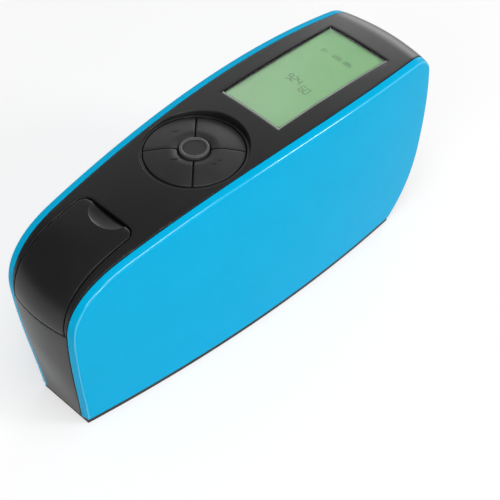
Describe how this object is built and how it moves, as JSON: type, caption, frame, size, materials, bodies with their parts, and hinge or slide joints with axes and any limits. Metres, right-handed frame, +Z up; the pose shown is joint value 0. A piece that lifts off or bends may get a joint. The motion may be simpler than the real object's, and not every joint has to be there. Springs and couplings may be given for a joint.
{
  "type": "gloss meter",
  "caption": "Handheld gloss meter with two side shells, crowned centre strip, display, key pad, battery cover and an optics block over the measuring aperture.",
  "frame": {"origin": "centre of the bounding box on the surface that the sole rests on", "axes": "+X from the battery nose to the display end, +Y to the user's left, +Z up"},
  "size_m": [0.1635, 0.0472, 0.0771],
  "materials": {
    "blue_shell": "high gloss moulded",
    "black_cover": "satin moulded",
    "key_plastic": "fine satin",
    "clear_window": "polished clear acrylic",
    "lcd": "reflective display panel",
    "black_nylon": "moulded",
    "sole_plastic": "fine matt",
    "circuit_board": "solder resist",
    "contact_steel": "nickel plated",
    "brass_spacer": "turned",
    "black_anodised": "black anodised",
    "lens_glass": "polished",
    "cell_sleeve": "printed foil sleeve, left bare"
  },
  "bodies": {
    "case": {"right_shell": "blue_shell", "left_shell": "blue_shell", "top_cover": "black_cover", "nose_cover": "black_cover", "rear_cover": "black_cover", "display_window": "clear_window", "display_panel": "lcd", "display_frame": "black_nylon", "key_board": "circuit_board", "dome_switch_1": "contact_steel", "dome_switch_2": "contact_steel", "dome_switch_3": "contact_steel", "dome_switch_4": "contact_steel", "dome_switch_5": "contact_steel", "main_board": "circuit_board", "board_spacer_1": "brass_spacer", "board_spacer_2": "brass_spacer", "board_spacer_3": "brass_spacer", "board_spacer_4": "brass_spacer", "optics_block": "black_anodised", "source_lens": "lens_glass", "receiver_lens": "lens_glass", "source_lamp": "contact_steel", "light_sensor": "black_nylon", "base_plate": "sole_plastic", "sole_screw_1": "contact_steel", "sole_screw_2": "contact_steel", "sole_screw_3": "contact_steel", "sole_screw_4": "contact_steel", "battery_tray": "black_nylon", "battery_cell": "cell_sleeve", "battery_spring": "contact_steel"},
    "lid": {"battery_cover": "black_cover", "cover_contact": "contact_steel"},
    "display_button": {"key_display": "key_plastic"},
    "left_button": {"key_left": "key_plastic"},
    "nose_button": {"key_nose": "key_plastic"},
    "right_button": {"key_right": "key_plastic"},
    "centre_button": {"centre_key": "key_plastic"}
  },
  "joints": [
    {"name": "lid_tilt", "type": "hinge", "parent": "case", "child": "lid", "pos_m": [-0.0817, 0, 0.0479], "axis": [0, -1, 0], "range_deg": [0, 70]},
    {"name": "display_key_press", "type": "slide", "parent": "case", "child": "display_button", "axis": [0, 0, -1], "range_m": [0, 0.0005], "stiffness_N_per_m": 2000, "deforming": ["dome_switch_1"]},
    {"name": "left_key_press", "type": "slide", "parent": "case", "child": "left_button", "axis": [0, 0, -1], "range_m": [0, 0.0005], "stiffness_N_per_m": 2000, "deforming": ["dome_switch_2"]},
    {"name": "nose_key_press", "type": "slide", "parent": "case", "child": "nose_button", "axis": [0, 0, -1], "range_m": [0, 0.0005], "stiffness_N_per_m": 2000, "deforming": ["dome_switch_3"]},
    {"name": "right_key_press", "type": "slide", "parent": "case", "child": "right_button", "axis": [0, 0, -1], "range_m": [0, 0.0005], "stiffness_N_per_m": 2000, "deforming": ["dome_switch_4"]},
    {"name": "centre_key_press", "type": "slide", "parent": "case", "child": "centre_button", "axis": [0, 0, -1], "range_m": [0, 0.0005], "stiffness_N_per_m": 2000, "deforming": ["dome_switch_5"]}
  ]
}
